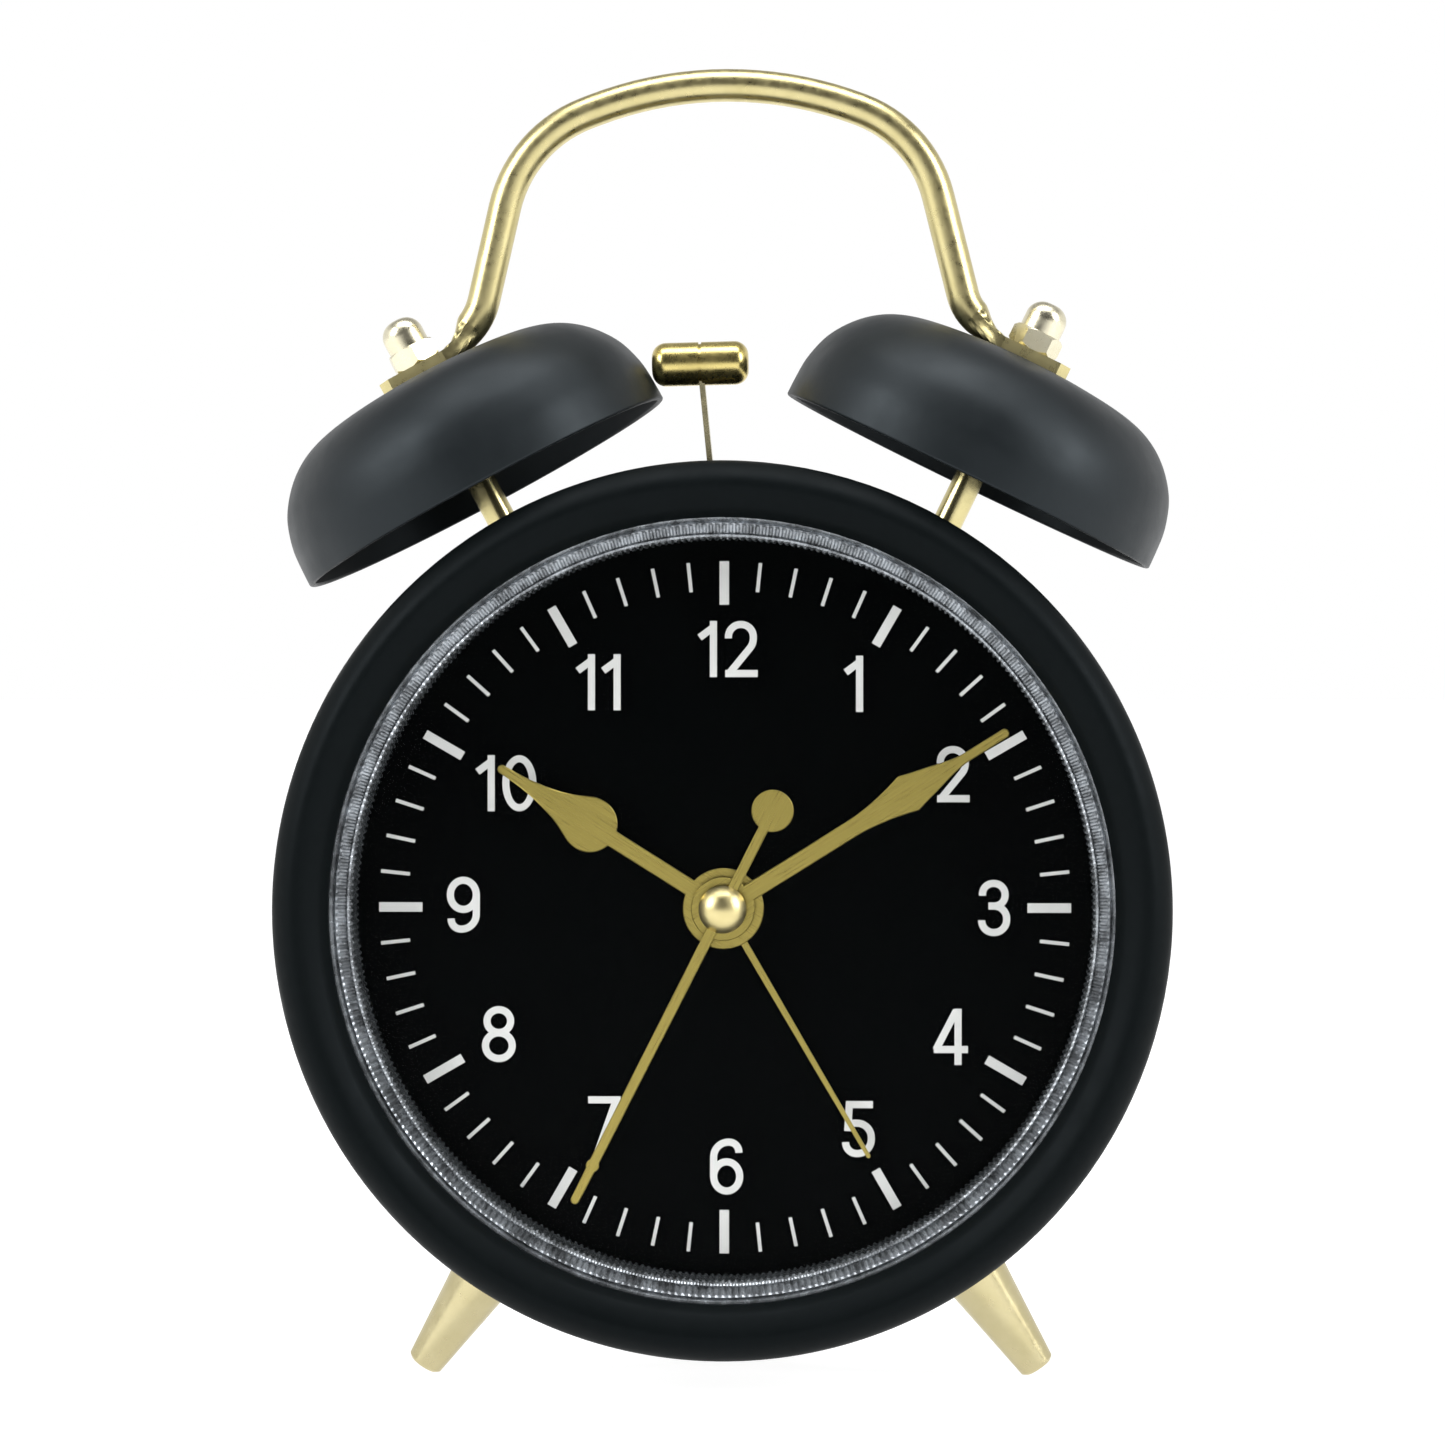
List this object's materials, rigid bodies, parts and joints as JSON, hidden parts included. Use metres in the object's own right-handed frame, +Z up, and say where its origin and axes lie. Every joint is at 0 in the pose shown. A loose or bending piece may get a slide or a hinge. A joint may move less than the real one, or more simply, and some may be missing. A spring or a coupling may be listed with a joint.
{
  "type": "alarm clock",
  "caption": "Round twin-bell alarm clock with a carrying handle, a hammer between the bells, a ribbed light ring round the dial, splayed feet and a geared quartz movement.",
  "frame": {"origin": "on the table, under the middle of the clock's bounding box", "axes": "+Z up, -Y out of the dial towards the viewer, +X to the viewer's right; the clock axis runs along Y at x = 0, z = 0.0603"},
  "size_m": [0.1132, 0.056, 0.1675],
  "materials": {
    "black_enamel": "matte black powder coat",
    "gold_satin": "satin champagne-gold plate",
    "gold_bright": "polished gold plate",
    "gold_brushed": "brushed gold",
    "dial_black": "gloss black",
    "print_white": "off-white print",
    "clear_lens": "clear and polished",
    "clear_ring": "clear ribbed plastic",
    "movement_plastic": "black moulded",
    "gear_plastic": "natural acetal",
    "steel": "bright zinc or nickel",
    "copper_wire": "enamelled copper wire",
    "board_green": "solder mask",
    "cover_plastic": "fine-textured black",
    "control_plastic": "satin black",
    "lamp_white": "clear white",
    "cell_jacket": "plain printed jacket",
    "rest_rubber": "matte black"
  },
  "bodies": {
    "case": {"drum_case": "black_enamel", "bezel": "black_enamel", "bell_left": "black_enamel", "bell_right": "black_enamel", "lens": "clear_lens", "light_ring": "clear_ring", "dial_plate": "dial_black", "dial_marks": "print_white", "dial_numerals": "print_white", "light_board": "board_green", "light_leds": "lamp_white", "movement_front": "movement_plastic", "movement_rear": "movement_plastic", "movement_board": "board_green", "stator": "steel", "coil_bobbin": "lamp_white", "coil_winding": "copper_wire", "bell_stems": "gold_bright", "bell_studs": "steel", "acorn_nuts": "gold_satin", "stud_nuts": "steel", "handle": "gold_satin", "motor_bracket": "steel", "hammer_motor": "steel", "hammer_pivot": "steel", "foot_left": "gold_satin", "foot_right": "gold_satin", "foot_screws": "steel", "rear_cover": "cover_plastic", "cover_screws": "steel", "batteries": "cell_jacket", "battery_contacts": "steel", "circuit_board": "board_green", "push_switch": "control_plastic", "slide_switch": "steel", "rear_rest": "rest_rubber"},
    "second_train": {"second_wheel": "gear_plastic", "second_hand": "gold_brushed", "hand_cap": "gold_bright"},
    "minute_train": {"minute_wheel": "gear_plastic", "minute_hand": "gold_brushed"},
    "hour_train": {"hour_wheel": "gear_plastic", "hour_hand": "gold_brushed"},
    "third": {"third_wheel": "gear_plastic"},
    "motion": {"motion_wheel": "gear_plastic"},
    "intermediate": {"intermediate_wheel": "gear_plastic"},
    "rotor_body": {"rotor": "steel"},
    "time_setter": {"time_set_shaft": "gear_plastic", "time_set_knob": "control_plastic"},
    "alarm_train": {"alarm_wheel": "gear_plastic", "alarm_hand": "gold_brushed"},
    "alarm_idler_body": {"alarm_idler": "gear_plastic"},
    "alarm_setter": {"alarm_set_shaft": "gear_plastic", "alarm_set_knob": "control_plastic"},
    "hammer": {"hammer_arm": "gold_satin", "hammer_head": "gold_bright"},
    "crank": {"motor_crank": "gear_plastic"},
    "alarm_switch": {"alarm_switch_slider": "control_plastic"},
    "light_switch": {"light_button": "control_plastic"},
    "door": {"battery_door": "cover_plastic"}
  },
  "joints": [
    {"name": "second_hand_turn", "type": "hinge", "parent": "case", "child": "second_train", "pos_m": [0, 0, 0.0603], "axis": [0, 1, 0], "continuous": true},
    {"name": "minute_hand_turn", "type": "hinge", "parent": "case", "child": "minute_train", "pos_m": [0, 0, 0.0603], "axis": [0, 1, 0], "continuous": true},
    {"name": "hour_hand_turn", "type": "hinge", "parent": "case", "child": "hour_train", "pos_m": [0, 0, 0.0603], "axis": [0, 1, 0], "continuous": true},
    {"name": "third_wheel_turn", "type": "hinge", "parent": "case", "child": "third", "pos_m": [-0.00612, 0, 0.0709], "axis": [0, 1, 0], "continuous": true},
    {"name": "motion_wheel_turn", "type": "hinge", "parent": "case", "child": "motion", "pos_m": [0.009, 0, 0.0603], "axis": [0, 1, 0], "continuous": true},
    {"name": "time_set_turn", "type": "hinge", "parent": "case", "child": "time_setter", "pos_m": [0.01912, 0, 0.0603], "axis": [0, 1, 0], "continuous": true},
    {"name": "intermediate_wheel_turn", "type": "hinge", "parent": "case", "child": "intermediate", "pos_m": [-0.0063, 0, 0.04939], "axis": [0, 1, 0], "continuous": true},
    {"name": "rotor_turn", "type": "hinge", "parent": "case", "child": "rotor_body", "pos_m": [-0.01645, 0, 0.04569], "axis": [0, 1, 0], "continuous": true},
    {"name": "alarm_set_turn", "type": "hinge", "parent": "case", "child": "alarm_setter", "pos_m": [-0.01728, 0, 0.0603], "axis": [0, 1, 0], "continuous": true},
    {"name": "alarm_idler_turn", "type": "hinge", "parent": "case", "child": "alarm_idler_body", "pos_m": [-0.0108, 0, 0.0603], "axis": [0, 1, 0], "continuous": true},
    {"name": "alarm_hand_turn", "type": "hinge", "parent": "case", "child": "alarm_train", "pos_m": [0, 0, 0.0603], "axis": [0, 1, 0], "continuous": true},
    {"name": "hammer_swing", "type": "hinge", "parent": "case", "child": "hammer", "pos_m": [-0.00125, -0.002, 0.1066], "axis": [0, 1, 0], "range_deg": [0, 14.2]},
    {"name": "motor_turn", "type": "hinge", "parent": "case", "child": "crank", "pos_m": [0, 0, 0.0943], "axis": [0, 1, 0], "continuous": true},
    {"name": "alarm_switch_slide", "type": "slide", "parent": "case", "child": "alarm_switch", "axis": [1, 0, 0], "range_m": [0, 0.003]},
    {"name": "light_button_press", "type": "slide", "parent": "case", "child": "light_switch", "axis": [0, -1, 0], "range_m": [0, 0.0011], "stiffness_N_per_m": 400, "springref_m": -0.001},
    {"name": "battery_door_swing", "type": "hinge", "parent": "case", "child": "door", "pos_m": [0, 0.0205, 0.0207], "axis": [-1, 0, 0], "range_deg": [0, 90]}
  ],
  "couplings": [
    {"joint": "minute_hand_turn", "follows": "second_hand_turn", "ratio": 0.016667},
    {"joint": "hour_hand_turn", "follows": "second_hand_turn", "ratio": 0.0013889},
    {"joint": "third_wheel_turn", "follows": "second_hand_turn", "ratio": -0.13333},
    {"joint": "motion_wheel_turn", "follows": "second_hand_turn", "ratio": -0.0055556},
    {"joint": "time_set_turn", "follows": "second_hand_turn", "ratio": 0.011111},
    {"joint": "intermediate_wheel_turn", "follows": "second_hand_turn", "ratio": -6},
    {"joint": "rotor_turn", "follows": "second_hand_turn", "ratio": 30},
    {"joint": "alarm_idler_turn", "follows": "alarm_set_turn", "ratio": -0.5},
    {"joint": "alarm_hand_turn", "follows": "alarm_set_turn", "ratio": 0.33333}
  ]
}
